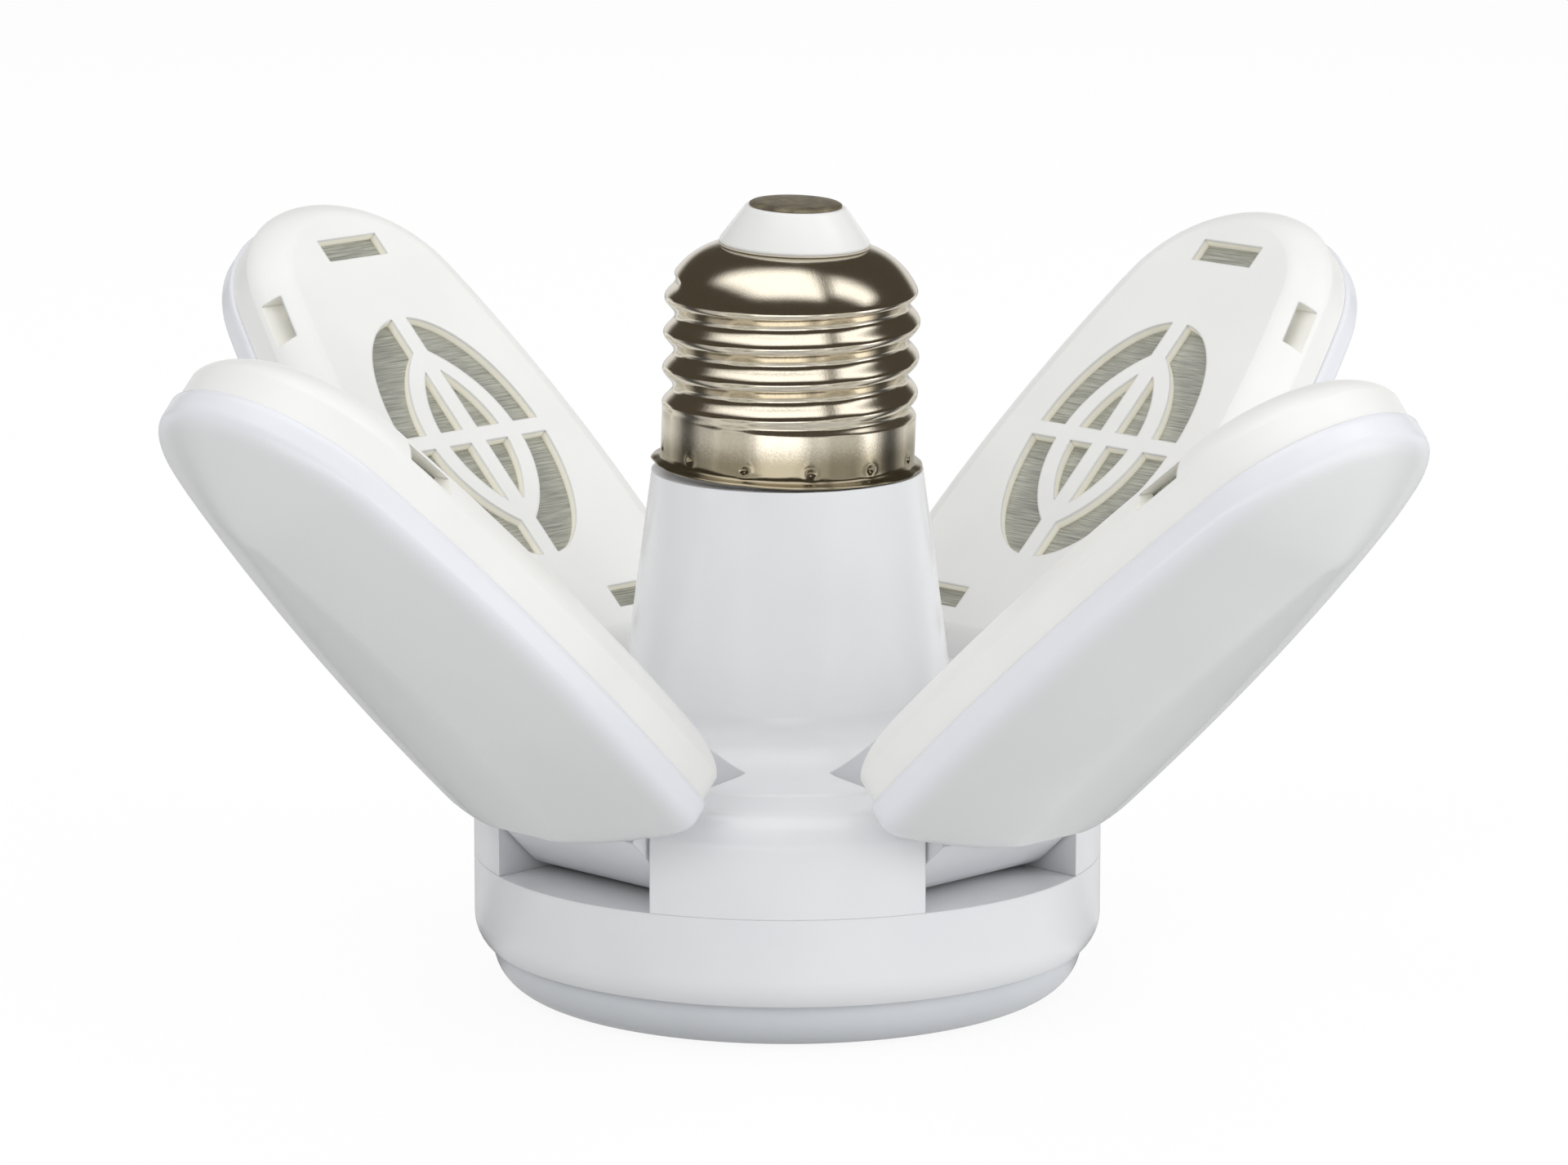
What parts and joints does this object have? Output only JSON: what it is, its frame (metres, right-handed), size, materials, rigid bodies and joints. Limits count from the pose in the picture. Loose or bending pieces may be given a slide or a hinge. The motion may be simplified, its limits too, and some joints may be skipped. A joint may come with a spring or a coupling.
{
  "type": "led bulb",
  "caption": "Screw-in lamp with a round base light and hinged light blades that fold from level to upright around a tapered stem.",
  "frame": {"origin": "on the lamp's axis, in the face of the base light that it stands on", "axes": "+Z along the stem towards the screw cap, -Y through the middle of the front hinge post"},
  "size_m": [0.1234, 0.1239, 0.0819],
  "materials": {
    "white_moulding": "satin white moulding",
    "hub_moulding": "glossy cool white moulding",
    "milky_diffuser": "satin milky moulding",
    "board_aluminium": "brushed across the blade",
    "nickel_sheet": "bright rolled nickel plate",
    "insulator": "smooth white",
    "contact_metal": "dull dark bronze",
    "light_package": "yellow phosphor",
    "board_laminate": "solder mask",
    "steel": "bright zinc plate",
    "component_black": "moulded epoxy",
    "copper_wire": "tinned copper"
  },
  "bodies": {
    "root": {"centre_diffuser": "milky_diffuser", "base_ring": "hub_moulding", "stem_housing": "hub_moulding", "centre_led_board": "board_aluminium", "centre_leds": "light_package", "hub_screws": "steel", "screw_shell": "nickel_sheet", "cap_insulator": "insulator", "centre_contact": "contact_metal", "contact_lead": "copper_wire", "driver_board": "board_laminate", "capacitor": "component_black", "inductor": "component_black", "fuse_resistor": "component_black", "rectifier": "component_black", "driver_chip": "component_black", "front_left_hinge_pin": "steel", "front_right_hinge_pin": "steel", "back_left_hinge_pin": "steel", "back_right_hinge_pin": "steel"},
    "front_left_blade": {"front_left_back_shell": "white_moulding", "front_left_diffuser": "milky_diffuser", "front_left_led_board": "board_aluminium", "front_left_leds": "light_package"},
    "front_right_blade": {"front_right_back_shell": "white_moulding", "front_right_diffuser": "milky_diffuser", "front_right_led_board": "board_aluminium", "front_right_leds": "light_package"},
    "back_left_blade": {"back_left_back_shell": "white_moulding", "back_left_diffuser": "milky_diffuser", "back_left_led_board": "board_aluminium", "back_left_leds": "light_package"},
    "back_right_blade": {"back_right_back_shell": "white_moulding", "back_right_diffuser": "milky_diffuser", "back_right_led_board": "board_aluminium", "back_right_leds": "light_package"}
  },
  "joints": [
    {"name": "front_left_hinge", "type": "hinge", "parent": "root", "child": "front_left_blade", "pos_m": [-0.01626, -0.01626, 0.0197], "axis": [-0.7071, 0.7071, 0], "range_deg": [-44, 42]},
    {"name": "front_right_hinge", "type": "hinge", "parent": "root", "child": "front_right_blade", "pos_m": [0.01626, -0.01626, 0.0197], "axis": [-0.7071, -0.7071, 0], "range_deg": [-41.9, 44.1]},
    {"name": "back_left_hinge", "type": "hinge", "parent": "root", "child": "back_left_blade", "pos_m": [-0.01626, 0.01626, 0.0197], "axis": [0.7071, 0.7071, 0], "range_deg": [-43.4, 42.6]},
    {"name": "back_right_hinge", "type": "hinge", "parent": "root", "child": "back_right_blade", "pos_m": [0.01626, 0.01626, 0.0197], "axis": [0.7071, -0.7071, 0], "range_deg": [-42.4, 43.6]}
  ]
}
